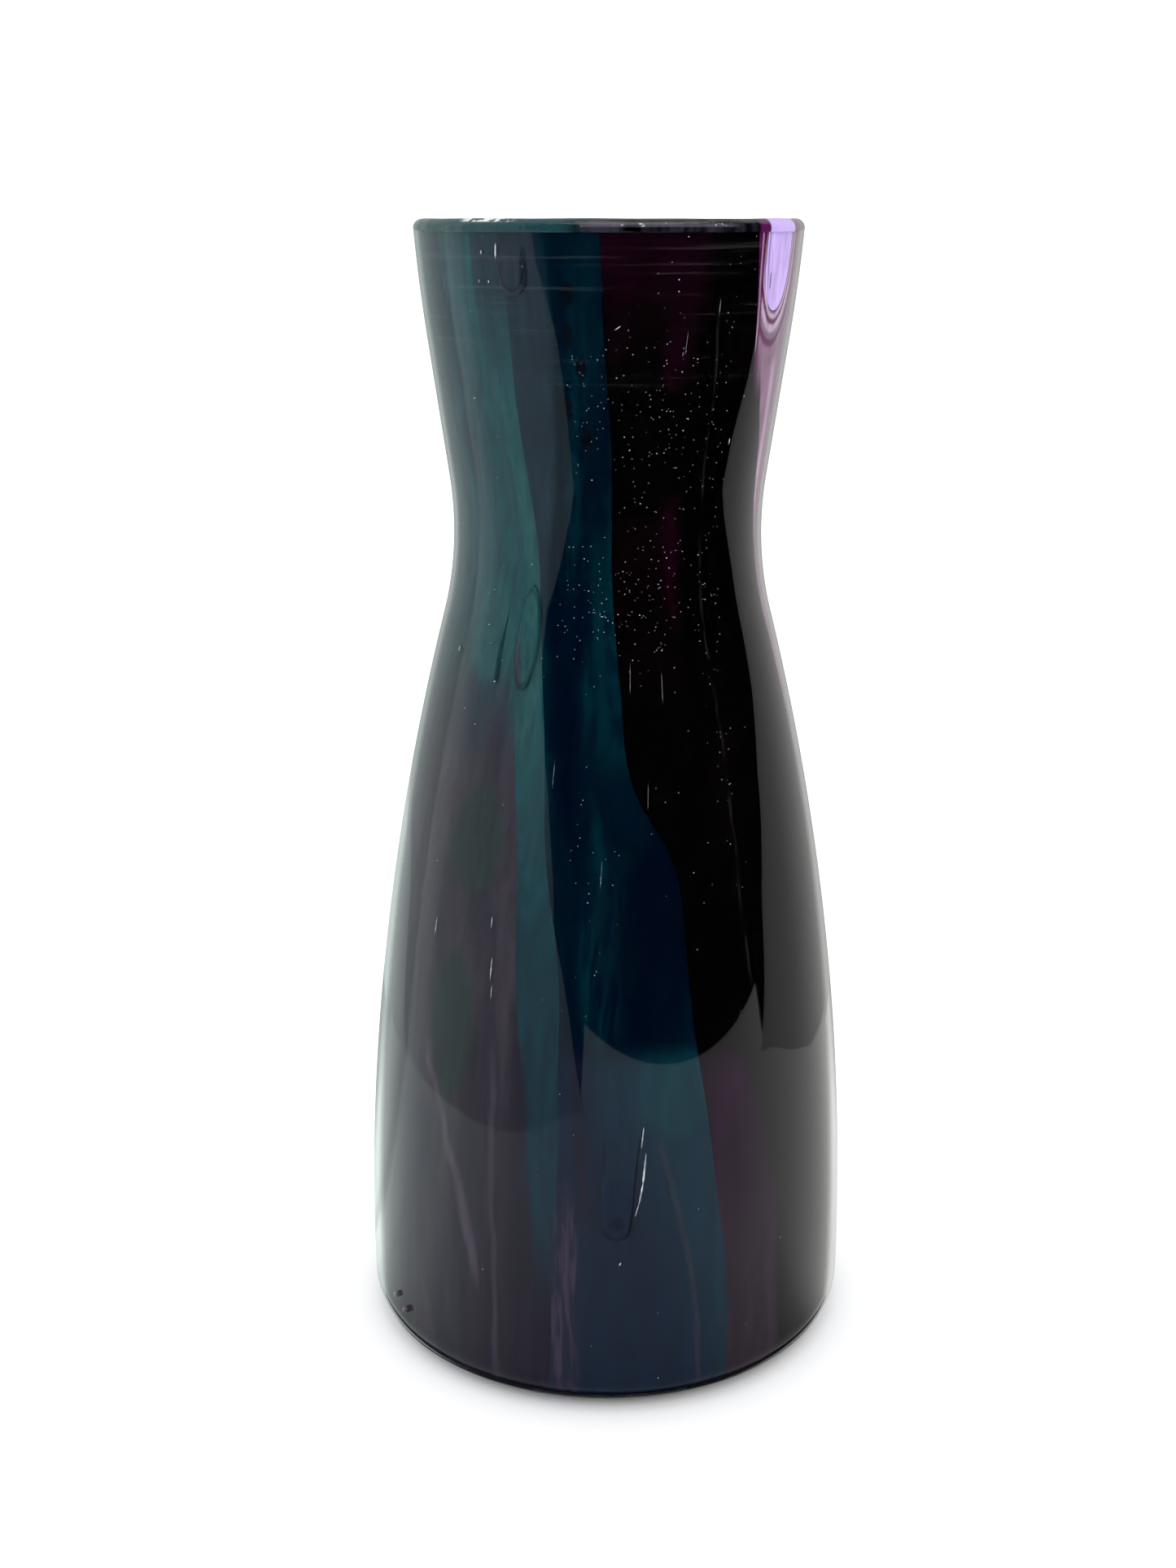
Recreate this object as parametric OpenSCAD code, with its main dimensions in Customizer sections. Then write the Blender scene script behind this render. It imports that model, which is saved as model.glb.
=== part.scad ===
// Hand blown art glass vase, carafe shaped, built up in layers as a gaffer lays them down:
// a blown glass body, poured colours laid side by side on it, and a thin clear casing over all.
// Millimetres, +Z up. The origin is the middle of the foot, on the surface that it stands on.
// Azimuths are degrees round the axis, from the front (-Y) towards +X.

/* [Outline] */
// Height of the vase
vase_h = 250; // [240:1:260]
// Largest outer radius, low on the body
body_r = 56; // [54:0.5:58]
// Height of the widest place
belly_z = 13; // [12:0.5:16]
// Outer radius of the waist, the narrowest place
waist_r = 33.5; // [32:0.5:36]
// Radius of the long convex arc from the heel to the shoulder
body_arc = 605; // [590:5:640]
// Radius of the hollow arc round the waist
waist_arc = 75; // [65:1:85]
// Lean of the neck, outwards and up
neck_angle = 8.1; // [6:0.1:10]
// Height at which the neck begins to straighten
neck_top_z = 226; // [220:1:232]
// Radius of the arc that straightens the neck below the rim
mouth_arc = 350; // [300:10:400]
// Radius of the rounded heel
heel_r = 8; // [7:0.5:10]

/* [Layers] */
// Thickness of the clear casing
casing_t = 0.7; // [0.6:0.1:0.9]
// Thickness of the poured colours
colour_t = 0.5; // [0.4:0.1:0.7]
// Thickness of the blown body behind the colours
wall_t = 2.8; // [2.4:0.1:3.2]
// Thickness of the bottom
base_t = 8; // [7.5:0.5:9]
// Height of the bare foot, below the edge of the colours
foot_h = 3; // [2.8:0.1:4]

/* [Foot] */
// Radius of the ground hollow under the bottom
kick_r = 38; // [30:1:40]
// Depth of that hollow
kick_depth = 2.5; // [1:0.5:3]

/* [Lavender tongue] */
// Azimuth of its middle
tongue_az = 58.5; // [58:0.5:60]
// Height of its round tip
tongue_tip_z = 231; // [229:1:234]
// Half its width
tongue_r = 5.6; // [5:0.1:6]

/* [Drips] */
// How far the drips stand proud of the casing
drip_proud = 0.6; // [0.4:0.1:0.9]

/* [Hidden] */

turn_fn = 120;   // facets of a whole turn
fine_fn = 360;   // facets of a whole turn where a thin drip is cut to it
arc_steps = 24;  // straight steps along the body's arc
bend_steps = 10; // straight steps along each shorter arc
reach = 70;      // further from the axis than any glass
over = 1;        // how far a cutter runs past what it cuts

coat_t = casing_t + colour_t;
total_t = coat_t + wall_t;
bead_r = total_t / 2;
rim_z = vase_h - bead_r;

// Centres of the outline's arcs, as [radius, height]. Each arc is tangent to its neighbours.
body_c = [body_r - body_arc, belly_z];
waist_x = waist_r + waist_arc;
waist_c = [waist_x, belly_z + sqrt(pow(body_arc + waist_arc, 2) - pow(waist_x - body_c[0], 2))];
heel_c = [body_c[0] + sqrt(pow(body_arc - heel_r, 2) - pow(heel_r - belly_z, 2)), heel_r];
neck_foot = waist_c + waist_arc * [-cos(neck_angle), sin(neck_angle)];
neck_top = [neck_foot[0] + (neck_top_z - neck_foot[1]) * tan(neck_angle), neck_top_z];
mouth_c = neck_top + mouth_arc * [-cos(neck_angle), sin(neck_angle)];

// Directions in which the arcs meet, seen from the body arc's centre.
heel_dir = atan2(heel_c[1] - body_c[1], heel_c[0] - body_c[0]);
waist_dir = atan2(waist_c[1] - body_c[1], waist_c[0] - body_c[0]);

function arc(c, r, from, to, n) = [for (i = [0:n]) let (a = from + (to - from) * i / n) c + r * [cos(a), sin(a)]];
function height_dir(c, r, z) = asin((z - c[1]) / r);
function reversed(line) = [for (i = [len(line) - 1:-1:0]) line[i]];

// The outline moved inwards by t, as [radius, height] points up to the rim. It has three stretches:
// the heel from height z, the body's arc from direction dir, and the waist, neck and mouth.
function heel_line(t, z) = arc(heel_c, heel_r - t, height_dir(heel_c, heel_r - t, z), heel_dir, bend_steps);
function body_line(t, dir) = arc(body_c, body_arc - t, dir, waist_dir, arc_steps);
function neck_line(t) = concat(
    arc(waist_c, waist_arc + t, 180 + waist_dir, 180 - neck_angle, bend_steps),
    arc(mouth_c, mouth_arc - t, -neck_angle, height_dir(mouth_c, mouth_arc - t, rim_z), bend_steps / 2));
function tail(line) = [for (i = [1:len(line) - 1]) line[i]];
function outline(t, z) = concat(heel_line(t, z), tail(body_line(t, heel_dir)), tail(neck_line(t)));

// Radius of the outline at height z.
function half_chord(r, h) = sqrt(r * r - h * h);
function outline_r(z) =
    z < belly_z ? body_r :
    z < body_c[1] + body_arc * sin(waist_dir) ? body_c[0] + half_chord(body_arc, z - body_c[1]) :
    z < neck_foot[1] ? waist_c[0] - half_chord(waist_arc, z - waist_c[1]) :
    z < neck_top_z ? neck_foot[0] + (z - neck_foot[1]) * tan(neck_angle) :
    mouth_c[0] + half_chord(mouth_arc, z - mouth_c[1]);

// Where the colours meet, each as [height, azimuth] points from the foot to the rim.
slate_green = [[0, -16], [60, -19], [110, -23], [150, -29], [180, -36], [215, -41], [250, -44]];
green_navy = [[0, -13], [50, -12], [95, -11], [130, -17], [165, -22], [200, -28], [250, -33]];
navy_plum = [[0, 29], [50, 27], [85, 22], [120, 13], [150, 4], [190, 0], [250, -3]];
plum_ink = [[0, 46], [45, 43], [80, 36], [110, 27], [150, 26], [200, 31], [250, 33]];
ink_magenta = [[0, 82], [60, 80], [120, 74], [165, 68], [200, 60], [225, 51], [250, 47]];
magenta_rose = [[0, 85], [60, 83], [120, 77], [165, 71], [200, 64], [228, 56], [250, 54]];
rose_violet = [[0, 100], [80, 102], [160, 98], [250, 108]];
violet_ink = [[0, 152], [90, 148], [170, 160], [250, 150]];
ink_slate = [[0, 214], [70, 222], [160, 212], [250, 224]];

module at_azimuth(az) {
    rotate([0, 0, az]) children();
}

// The blown body: a bare foot, a wall that the colours lie on, and a bottom ground hollow underneath.
module glass_body() {
    kick_arc = (kick_r * kick_r + kick_depth * kick_depth) / (2 * kick_depth);
    kick_c = [0, kick_depth - kick_arc];
    fillet_r = belly_z - base_t;
    fillet_c = [body_r - total_t - fillet_r, belly_z];
    color([0.05, 0.05, 0.07])
    rotate_extrude($fn = turn_fn) polygon(concat(
        arc(kick_c, kick_arc, 90, height_dir(kick_c, kick_arc, 0), bend_steps),
        arc(heel_c, heel_r, -90, height_dir(heel_c, heel_r, foot_h), bend_steps),
        outline(coat_t, foot_h),
        reversed(neck_line(total_t)),
        tail(reversed(body_line(total_t, 0))),
        tail(arc(fillet_c, fillet_r, 0, -90, bend_steps)),
        [[0, base_t]]));
}

// The section of one layer, between the outline moved inwards by t_out and by t_in.
module layer_section(t_out, t_in) {
    polygon(concat(outline(t_out, foot_h), reversed(outline(t_in, foot_h))));
}

module clear_casing() {
    color([0.85, 0.92, 0.92, 0.25])
    rotate_extrude($fn = turn_fn) layer_section(0, casing_t);
}

// The fire polished rim, where the layers run together in one round bead.
module rim_bead() {
    color([0.25, 0.3, 0.3])
    rotate_extrude($fn = turn_fn) intersection() {
        translate([outline_r(rim_z) - bead_r, rim_z]) circle(r = bead_r, $fn = turn_fn);
        translate([0, rim_z]) square([reach, bead_r]);
    }
}

// The layer of colour between two azimuths.
module colour_sector(az_from, az_to) {
    at_azimuth(az_from - 90) rotate_extrude(angle = az_to - az_from, $fn = turn_fn)
        layer_section(casing_t, coat_t);
}

function azimuths(edge) = [for (p = edge) p[1]];
function middle(edge) = (min(azimuths(edge)) + max(azimuths(edge))) / 2;

// Everything to one side of the line where two colours meet: side is 1 for higher azimuths, -1 for lower.
module beyond(edge, side) {
    mid = middle(edge);
    line = [for (p = edge) [outline_r(p[0]) * sin(p[1] - mid), p[0]]];
    at_azimuth(mid) rotate([90, 0, 0]) linear_extrude(height = reach)
        polygon(concat(line, [[side * reach, line[len(line) - 1][1]], [side * reach, line[0][1]]]));
}

// One poured colour, between the two lines where it meets its neighbours.
module field(left, right) {
    difference() {
        colour_sector(min(azimuths(left)) - over, max(azimuths(right)) + over);
        beyond(left, -1);
        beyond(right, 1);
    }
}

// A prism through the wall in the shape of the lavender tongue: straight sides and a round end.
module tongue_prism() {
    at_azimuth(tongue_az) rotate([90, 0, 0]) linear_extrude(height = reach) {
        translate([0, tongue_tip_z + tongue_r]) circle(r = tongue_r, $fn = turn_fn);
        translate([-tongue_r, tongue_tip_z + tongue_r]) square([2 * tongue_r, vase_h - tongue_tip_z]);
    }
}

module slate_field() {
    color([0.2, 0.25, 0.28]) field([for (p = ink_slate) [p[0], p[1] - 360]], slate_green);
}

module green_streak() {
    color([0.1, 0.32, 0.3]) field(slate_green, green_navy);
}

module navy_field() {
    color([0.03, 0.14, 0.2]) field(green_navy, navy_plum);
}

module plum_field() {
    color([0.16, 0.05, 0.12]) field(navy_plum, plum_ink);
}

module ink_field() {
    color([0.02, 0.02, 0.03]) field(plum_ink, ink_magenta);
}

module magenta_band() {
    color([0.42, 0.08, 0.36]) difference() {
        field(ink_magenta, magenta_rose);
        tongue_prism();
    }
}

module lavender_pour() {
    color([0.72, 0.62, 0.95]) intersection() {
        colour_sector(tongue_az - 30, tongue_az + 30);
        tongue_prism();
    }
}

module rose_field() {
    color([0.62, 0.4, 0.58]) difference() {
        field(magenta_rose, rose_violet);
        tongue_prism();
    }
}

module violet_back() {
    color([0.28, 0.2, 0.42]) field(rose_violet, violet_ink);
}

module ink_back() {
    color([0.03, 0.03, 0.05]) field(violet_ink, ink_slate);
}

// The outside of the vase as one solid, to cut what sits on it.
module outside() {
    rotate_extrude($fn = fine_fn) polygon(concat(outline(0, foot_h), [[0, rim_z], [0, foot_h]]));
}

// A drip that ran down the outside: a tapered run with a round tip, most of it sunk in the casing.
module drip(az, top_z, tip_z, top_r, tip_r) {
    low_z = tip_z + tip_r / 2;
    low = [outline_r(low_z) + drip_proud - tip_r, low_z];
    high = [outline_r(top_z) + drip_proud - top_r, top_z];
    difference() {
        at_azimuth(az - 90) translate([low[0], 0, low[1]]) rotate([0, atan2(high[0] - low[0], high[1] - low[1]), 0]) {
            cylinder(r1 = tip_r, r2 = top_r, h = norm(high - low), $fn = fine_fn);
            sphere(r = tip_r, $fn = fine_fn);
        }
        outside();
    }
}

module neck_drip() {
    color([0.3, 0.3, 0.36]) drip(-27, 246, 233, 8, 7);
}

module loop_drip() {
    color([0.12, 0.36, 0.33]) drip(-27, 173, 158, 6, 6);
}

module front_drip() {
    color([0.1, 0.2, 0.26]) drip(3.5, 68, 43, 6.5, 5);
}

module thread_run() {
    color([0.14, 0.2, 0.24]) drip(-38, 176, 158, 1.1, 1.2);
}

// Two specks of glass that stuck to the heel when the hot vase was set down.
module heel_crusts() {
    color([0.3, 0.3, 0.32]) difference() {
        union() {
            at_azimuth(-150) translate([body_r, 0, 12]) sphere(r = 0.8, $fn = fine_fn);
            at_azimuth(-145) translate([body_r, 0, 10.5]) sphere(r = 1, $fn = fine_fn);
        }
        outside();
    }
}

glass_body();
clear_casing();
rim_bead();
slate_field();
green_streak();
navy_field();
plum_field();
ink_field();
magenta_band();
lavender_pour();
rose_field();
violet_back();
ink_back();
neck_drip();
loop_drip();
front_drip();
thread_run();
heel_crusts();
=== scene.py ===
"""Looks of the art glass vase: casing, poured colours, drips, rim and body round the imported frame."""

import math
import random

import bmesh
import bpy
import numpy as np
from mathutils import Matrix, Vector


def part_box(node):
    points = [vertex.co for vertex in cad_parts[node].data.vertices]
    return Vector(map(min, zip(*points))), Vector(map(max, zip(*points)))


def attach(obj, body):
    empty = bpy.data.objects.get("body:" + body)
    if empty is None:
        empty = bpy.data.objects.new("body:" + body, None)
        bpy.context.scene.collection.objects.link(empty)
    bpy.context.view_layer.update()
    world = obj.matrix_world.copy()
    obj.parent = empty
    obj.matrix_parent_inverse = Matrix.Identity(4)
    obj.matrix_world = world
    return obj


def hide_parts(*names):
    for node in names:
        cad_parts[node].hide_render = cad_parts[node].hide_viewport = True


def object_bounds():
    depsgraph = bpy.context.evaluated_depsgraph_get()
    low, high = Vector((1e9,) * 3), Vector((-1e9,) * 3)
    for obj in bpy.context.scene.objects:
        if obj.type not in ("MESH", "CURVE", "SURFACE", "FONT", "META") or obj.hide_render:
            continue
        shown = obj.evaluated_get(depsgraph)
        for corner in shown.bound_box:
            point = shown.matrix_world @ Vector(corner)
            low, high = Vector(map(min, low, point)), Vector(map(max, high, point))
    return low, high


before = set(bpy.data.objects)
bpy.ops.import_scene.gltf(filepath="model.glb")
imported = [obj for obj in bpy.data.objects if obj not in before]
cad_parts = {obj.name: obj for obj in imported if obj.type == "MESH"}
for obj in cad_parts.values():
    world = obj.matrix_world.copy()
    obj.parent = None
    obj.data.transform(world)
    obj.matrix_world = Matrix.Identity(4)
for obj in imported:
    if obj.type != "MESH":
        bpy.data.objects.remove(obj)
cad_low, cad_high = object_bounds()

MM = 0.001

# -------------------- outline, as in the CAD model
VASE_H = cad_high.z / MM
BODY_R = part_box("clear_casing")[1].x / MM
FOOT_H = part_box("clear_casing")[0].z / MM
RIM_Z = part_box("rim_bead")[0].z / MM
BELLY_Z, BODY_ARC = 13.0, 605.0
WAIST_R, WAIST_ARC = 33.5, 75.0
NECK_LEAN, NECK_TOP_Z, MOUTH_ARC = math.radians(8.1), 226.0, 350.0
HEEL_R = 8.0
CASING_T, COLOUR_T, WALL_T, BASE_T = 0.7, 0.5, 2.8, 8.0
COAT_T = CASING_T + COLOUR_T
TOTAL_T = COAT_T + WALL_T
BEAD_R = VASE_H - RIM_Z
KICK_R, KICK_DEPTH = 38.0, 2.5
LEAN_IN = np.array([-math.cos(NECK_LEAN), math.sin(NECK_LEAN)])

body_c = np.array([BODY_R - BODY_ARC, BELLY_Z])
waist_x = WAIST_R + WAIST_ARC
waist_c = np.array([waist_x, BELLY_Z + math.sqrt((BODY_ARC + WAIST_ARC) ** 2 - (waist_x - body_c[0]) ** 2)])
heel_c = np.array([body_c[0] + math.sqrt((BODY_ARC - HEEL_R) ** 2 - (HEEL_R - BELLY_Z) ** 2), HEEL_R])
neck_foot = waist_c + WAIST_ARC * LEAN_IN
neck_top = np.array([neck_foot[0] + (NECK_TOP_Z - neck_foot[1]) * math.tan(NECK_LEAN), NECK_TOP_Z])
mouth_c = neck_top + MOUTH_ARC * LEAN_IN
heel_dir = math.atan2(*(heel_c - body_c)[::-1])
waist_dir = math.atan2(*(waist_c - body_c)[::-1])


def arc(centre, radius, start, end, steps):
    turn = np.linspace(start, end, steps + 1)
    return centre + radius * np.stack([np.cos(turn), np.sin(turn)], -1)


def height_dir(centre, radius, z):
    return math.asin((z - centre[1]) / radius)


def outline(inset=0.0, low=FOOT_H, top=RIM_Z):
    """[radius, height] points of the outline moved inwards by inset, from height low up to height top."""
    mouth_r = MOUTH_ARC - inset
    low_dir = height_dir(heel_c, HEEL_R - inset, low) if low > 0 else -math.pi / 2
    return np.concatenate([
        arc(heel_c, HEEL_R - inset, low_dir, heel_dir, 14),
        arc(body_c, BODY_ARC - inset, heel_dir, waist_dir, 110)[1:],
        arc(waist_c, WAIST_ARC + inset, math.pi + waist_dir, math.pi - NECK_LEAN, 30)[1:],
        arc(mouth_c, mouth_r, -NECK_LEAN, height_dir(mouth_c, mouth_r, top), 34)])


OUTER = outline(0.0, low=0.0)
STEPS = np.gradient(OUTER, axis=0)
NORMALS = np.stack([STEPS[:, 1], -STEPS[:, 0]], -1) / np.linalg.norm(STEPS, axis=1)[:, None]


def on_wall(azimuth, z, lift=0.0):
    """Points in metres on the outside, at an azimuth in degrees and a height, moved out along the
    normal by lift."""
    azimuth, z, lift = np.broadcast_arrays(*(np.asarray(v, float) for v in (azimuth, z, lift)))
    r = np.interp(z, OUTER[:, 1], OUTER[:, 0]) + lift * np.interp(z, OUTER[:, 1], NORMALS[:, 0])
    height = z + lift * np.interp(z, OUTER[:, 1], NORMALS[:, 1])
    turn = np.radians(azimuth)
    return np.stack([r * np.sin(turn), -r * np.cos(turn), height], -1) * MM


# -------------------- camera, at the photograph's viewing angle
EYE_BACK, EYE_DOWN, EYE_LEFT = 0.411, math.radians(16.7), math.radians(0.6)
camera = bpy.data.objects.new("camera", bpy.data.cameras.new("camera"))
camera.data.sensor_width, camera.data.lens = 36.0, 43.34
camera.data.clip_start, camera.data.clip_end = 0.01, 50.0
camera.location = (0.0, -EYE_BACK, VASE_H * MM)
camera.rotation_euler = (math.pi / 2 - EYE_DOWN, 0.0, EYE_LEFT)
bpy.context.scene.collection.objects.link(camera)
bpy.context.scene.camera = camera


# -------------------- node helpers
class Nodes:
    """A short way to write a material's node tree. Its masks go by its azimuth and height."""

    def __init__(self, name):
        self.material = bpy.data.materials.new(name)
        self.material.use_nodes = True
        self.tree = self.material.node_tree
        self.tree.nodes.clear()
        self.out = self.make("ShaderNodeOutputMaterial")

    def make(self, kind, **values):
        node = self.tree.nodes.new(kind)
        for key, value in values.items():
            setattr(node, key, value)
        return node

    def put(self, socket, value):
        if isinstance(value, bpy.types.NodeSocket):
            self.tree.links.new(value, socket)
        else:
            socket.default_value = value

    def math(self, operation, a, b=0.0, c=0.0, clamp=False):
        node = self.make("ShaderNodeMath", operation=operation, use_clamp=clamp)
        for socket, value in zip(node.inputs, (a, b, c)):
            self.put(socket, value)
        return node.outputs[0]

    def add(self, a, b):
        return self.math("ADD", a, b)

    def times(self, a, b):
        return self.math("MULTIPLY", a, b)

    def step(self, value, low, high, to_low=0.0, to_high=1.0):
        """Rises smoothly from to_low to to_high as value goes from low to high."""
        node = self.make("ShaderNodeMapRange", interpolation_type="SMOOTHSTEP")
        for socket, v in zip(node.inputs[:5], (value, low, high, to_low, to_high)):
            self.put(socket, v)
        return node.outputs[0]

    def fall(self, value, low, high):
        """Falls smoothly from 1 to 0 as value goes from low to high."""
        return self.step(value, low, high, 1.0, 0.0)

    def window(self, value, low_out, low, high, high_out):
        """1 from low to high, fading to 0 at low_out and high_out."""
        return self.times(self.step(value, low_out, low), self.fall(value, high, high_out))

    def length(self, a, b):
        """The length of the flat vector (a, b)."""
        return self.math("SQRT", self.add(self.times(a, a), self.times(b, b)))

    def sway(self, noise, amount):
        """A noise value turned into an offset of up to half amount either way."""
        return self.times(self.add(noise, -0.5), amount)

    def curve(self, value, points):
        """A smooth curve through (x, y) points, read at value."""
        xs, ys = [p[0] for p in points], [p[1] for p in points]
        low, high = min(ys), max(max(ys), min(ys) + 1e-3)
        node = self.make("ShaderNodeFloatCurve")
        line = node.mapping.curves[0]
        line.points[0].location = (0.0, (ys[0] - low) / (high - low))
        line.points[1].location = (1.0, (ys[-1] - low) / (high - low))
        for x, y in points[1:-1]:
            line.points.new((x - xs[0]) / (xs[-1] - xs[0]), (y - low) / (high - low))
        node.mapping.update()
        share = self.math("DIVIDE", self.add(value, -xs[0]), xs[-1] - xs[0], clamp=True)
        self.put(node.inputs["Value"], share)
        return self.math("MULTIPLY_ADD", node.outputs[0], high - low, low)

    def noise(self, vector, scale, detail=2.0, rough=0.5, warp=0.0):
        node = self.make("ShaderNodeTexNoise")
        self.put(node.inputs["Vector"], vector)
        for key, value in (("Scale", scale), ("Detail", detail), ("Roughness", rough), ("Distortion", warp)):
            node.inputs[key].default_value = value
        return node.outputs[0]

    def stretch(self, vector, x, y, z):
        node = self.make("ShaderNodeVectorMath", operation="MULTIPLY")
        self.put(node.inputs[0], vector)
        node.inputs[1].default_value = (x, y, z)
        return node.outputs[0]

    def mix(self, share, a, b):
        node = self.make("ShaderNodeMix", data_type="RGBA")
        self.put(node.inputs[0], share)
        for socket, value in ((node.inputs[6], a), (node.inputs[7], b)):
            self.put(socket, value if isinstance(value, bpy.types.NodeSocket) else (*value, 1.0))
        return node.outputs[2]

    def ramp(self, value, low, high, a, b):
        """Colour a where value is under low, going over to b at high."""
        return self.mix(self.step(value, low, high), a, b)

    def lay(self, colour, shade, mask, share):
        """A share of shade laid over a colour where the mask is."""
        return self.mix(self.times(mask, share), colour, shade)

    def blend(self, share, a, b):
        node = self.make("ShaderNodeMixShader")
        self.put(node.inputs[0], share)
        self.put(node.inputs[1], a)
        self.put(node.inputs[2], b)
        return node.outputs[0]

    def here(self):
        return self.make("ShaderNodeTexCoord").outputs["Object"]

    def place(self):
        """The Object coordinates, the azimuth in degrees and the height in millimetres."""
        here = self.here()
        parts = self.make("ShaderNodeSeparateXYZ")
        self.put(parts.inputs[0], here)
        turn = self.math("ARCTAN2", parts.outputs[0], self.times(parts.outputs[1], -1.0))
        return here, self.times(turn, math.degrees(1.0)), self.times(parts.outputs[2], 1.0 / MM)

    def side_of(self, line, soft):
        """0 to the left of a (height, azimuth) line, 1 to its right, blending over soft degrees."""
        off = self.math("SUBTRACT", self.azimuth, self.curve(self.height, line))
        return self.step(off, -soft / 2, soft / 2)

    def between(self, left, right, soft, low=-30.0, high=280.0, fade=10.0):
        """A mask between two (height, azimuth) lines and two heights."""
        past_left = self.side_of(left, soft)
        past_right = self.side_of(right, soft)
        inside = self.math("SUBTRACT", past_left, past_right, clamp=True)
        return self.times(inside, self.window(self.height, low - fade, low, high, high + fade))

    def stripe(self, line, half_width, soft, low=-30.0, high=280.0, fade=8.0):
        """A mask along a (height, azimuth) line, fading out past heights low and high."""
        off = self.math("ABSOLUTE", self.math("SUBTRACT", self.azimuth, self.curve(self.height, line)))
        across = self.fall(off, half_width, half_width + soft)
        return self.times(across, self.window(self.height, low - fade, low, high, high + fade))

    def patch(self, at_azimuth, at_height, wide, tall):
        """A soft oval mask."""
        across = self.times(self.add(self.azimuth, -at_azimuth), 1.0 / wide)
        up = self.times(self.add(self.height, -at_height), 1.0 / tall)
        span = self.add(self.times(across, across), self.times(up, up))
        return self.fall(span, 0.45, 1.1)

    def dab(self, colour, shade, share, *oval):
        """A share of shade laid over a colour in a soft oval: its azimuth, height, half width and height."""
        return self.lay(colour, shade, self.patch(*oval), share)

    def bump(self, height, strength, distance):
        node = self.make("ShaderNodeBump")
        self.put(node.inputs["Height"], height)
        node.inputs["Strength"].default_value = strength
        node.inputs["Distance"].default_value = distance
        return node.outputs[0]

    def principled(self, **values):
        node = self.make("ShaderNodeBsdfPrincipled")
        for key, value in values.items():
            self.put(node.inputs[key.replace("_", " ")], value)
        return node.outputs[0]

    def finish(self, shader):
        self.put(self.out.inputs["Surface"], shader)
        return self.material


# -------------------- colours, as linear values
BLACK = (0.0003, 0.0002, 0.0004)
NAVY = (0.0001, 0.0014, 0.0065)
TEAL_NAVY = (0.0002, 0.0036, 0.0088)
TEAL_DEEP = (0.0003, 0.013, 0.0195)
TEAL = (0.0015, 0.021, 0.03)
TEAL_SLATE = (0.0015, 0.013, 0.0245)
BLUE_SLATE = (0.001, 0.0055, 0.017)
GREEN_TEAL = (0.004, 0.042, 0.048)
SEA_GREEN = (0.01, 0.046, 0.049)
SLATE_TEAL = (0.008, 0.034, 0.042)
SLATE = (0.007, 0.018, 0.027)
OLIVE = (0.008, 0.017, 0.0165)
DUSK = (0.012, 0.0105, 0.019)
DUSK_DARK = (0.0045, 0.003, 0.01)
LILAC_GREY = (0.021, 0.017, 0.025)
WISP = (0.045, 0.036, 0.055)
VIOLET_LINE = (0.02, 0.014, 0.03)
PLUM = (0.0024, 0.0002, 0.0011)
PLUM_LIGHT = (0.0064, 0.0003, 0.003)
WINE = (0.0095, 0.0012, 0.0105)
MAUVE_DARK = (0.0135, 0.0075, 0.0145)
MAGENTA = (0.067, 0.005, 0.052)
LAVENDER = (0.42, 0.31, 0.63)
MAUVE = (0.13, 0.085, 0.125)
PINK = (0.17, 0.085, 0.145)
PALE_PINK = (0.34, 0.24, 0.33)
VIOLET = (0.011, 0.006, 0.026)
# The dark spots of bubbles in the paint, and the painted shade of the thin dark line along some drips' edges.
DARK_SPOT_AND_EDGE_SHADE = (0.0015, 0.002, 0.004)
THROUGH = (0.06, 0.06, 0.06)
SEA_BAND = (0.008, 0.046, 0.05)
# The pale colour of the air seeds: painted highlight for the light that bubbles in the glass mirror.
SEED_GLINT = (0.5, 0.52, 0.56)
LILAC = (0.028, 0.018, 0.042)

# Where the colours meet, as (height, azimuth) points from the foot to the rim.
SLATE_GREEN = [(0, -16), (60, -19), (110, -23), (150, -29), (180, -36), (215, -41), (250, -44)]
GREEN_NAVY = [(0, -13), (50, -12), (95, -11), (130, -17), (165, -22), (200, -28), (250, -33)]
NAVY_PLUM = [(0, 29), (50, 27), (82, 22), (105, 19.5), (124, 16.5), (138, 8), (160, 4), (190, 1.5), (250, -3)]
PLUM_INK = [(0, 46), (45, 43), (80, 36), (110, 27), (150, 26), (200, 31), (250, 33)]
INK_MAGENTA = [(0, 82), (60, 80), (120, 74), (165, 68), (200, 60), (225, 51), (250, 47)]
MAGENTA_ROSE = [(0, 85), (60, 83), (120, 77), (165, 71), (200, 64), (228, 56), (250, 54)]
ROSE_VIOLET = [(0, 100), (80, 102), (160, 98), (250, 108)]
VIOLET_INK = [(0, 152), (90, 148), (170, 160), (250, 150)]
INK_SLATE = [(0, 214), (70, 222), (160, 212), (250, 224)]
TONGUE_AZ, TONGUE_TIP_Z, TONGUE_HALF, TONGUE_BEND_Z = 59.6, 232.0, 7.6, 241.5


def pour_coordinates(n):
    """Sets the azimuth and height that the masks go by, swaying as poured colour does, and returns broad
    and fine streaks drawn down the wall."""
    here, azimuth, height = n.place()
    wander = n.noise(n.stretch(here, 1.0, 1.0, 0.45), 45.0, 3.0, 0.55)
    drawn = n.make("ShaderNodeVectorMath", operation="ADD")
    n.put(drawn.inputs[0], n.stretch(here, 1.0, 1.0, 0.07))
    n.put(drawn.inputs[1], n.stretch(wander, 0.012, 0.012, 0.0))
    flow = n.noise(drawn.outputs[0], 150.0, 3.0, 0.55, 0.3)
    fine = n.noise(drawn.outputs[0], 650.0, 2.0, 0.6, 0.2)
    n.azimuth, n.height = n.add(azimuth, n.sway(wander, 7.0)), height
    return flow, fine


# The gloss of the poured colours and of the painted shade line along a drip's edge, and the smoothest
# roughness of the glass.
GLOSS, LINE_GLOSS, POLISH = 0.38, 0.08, 0.012


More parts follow.
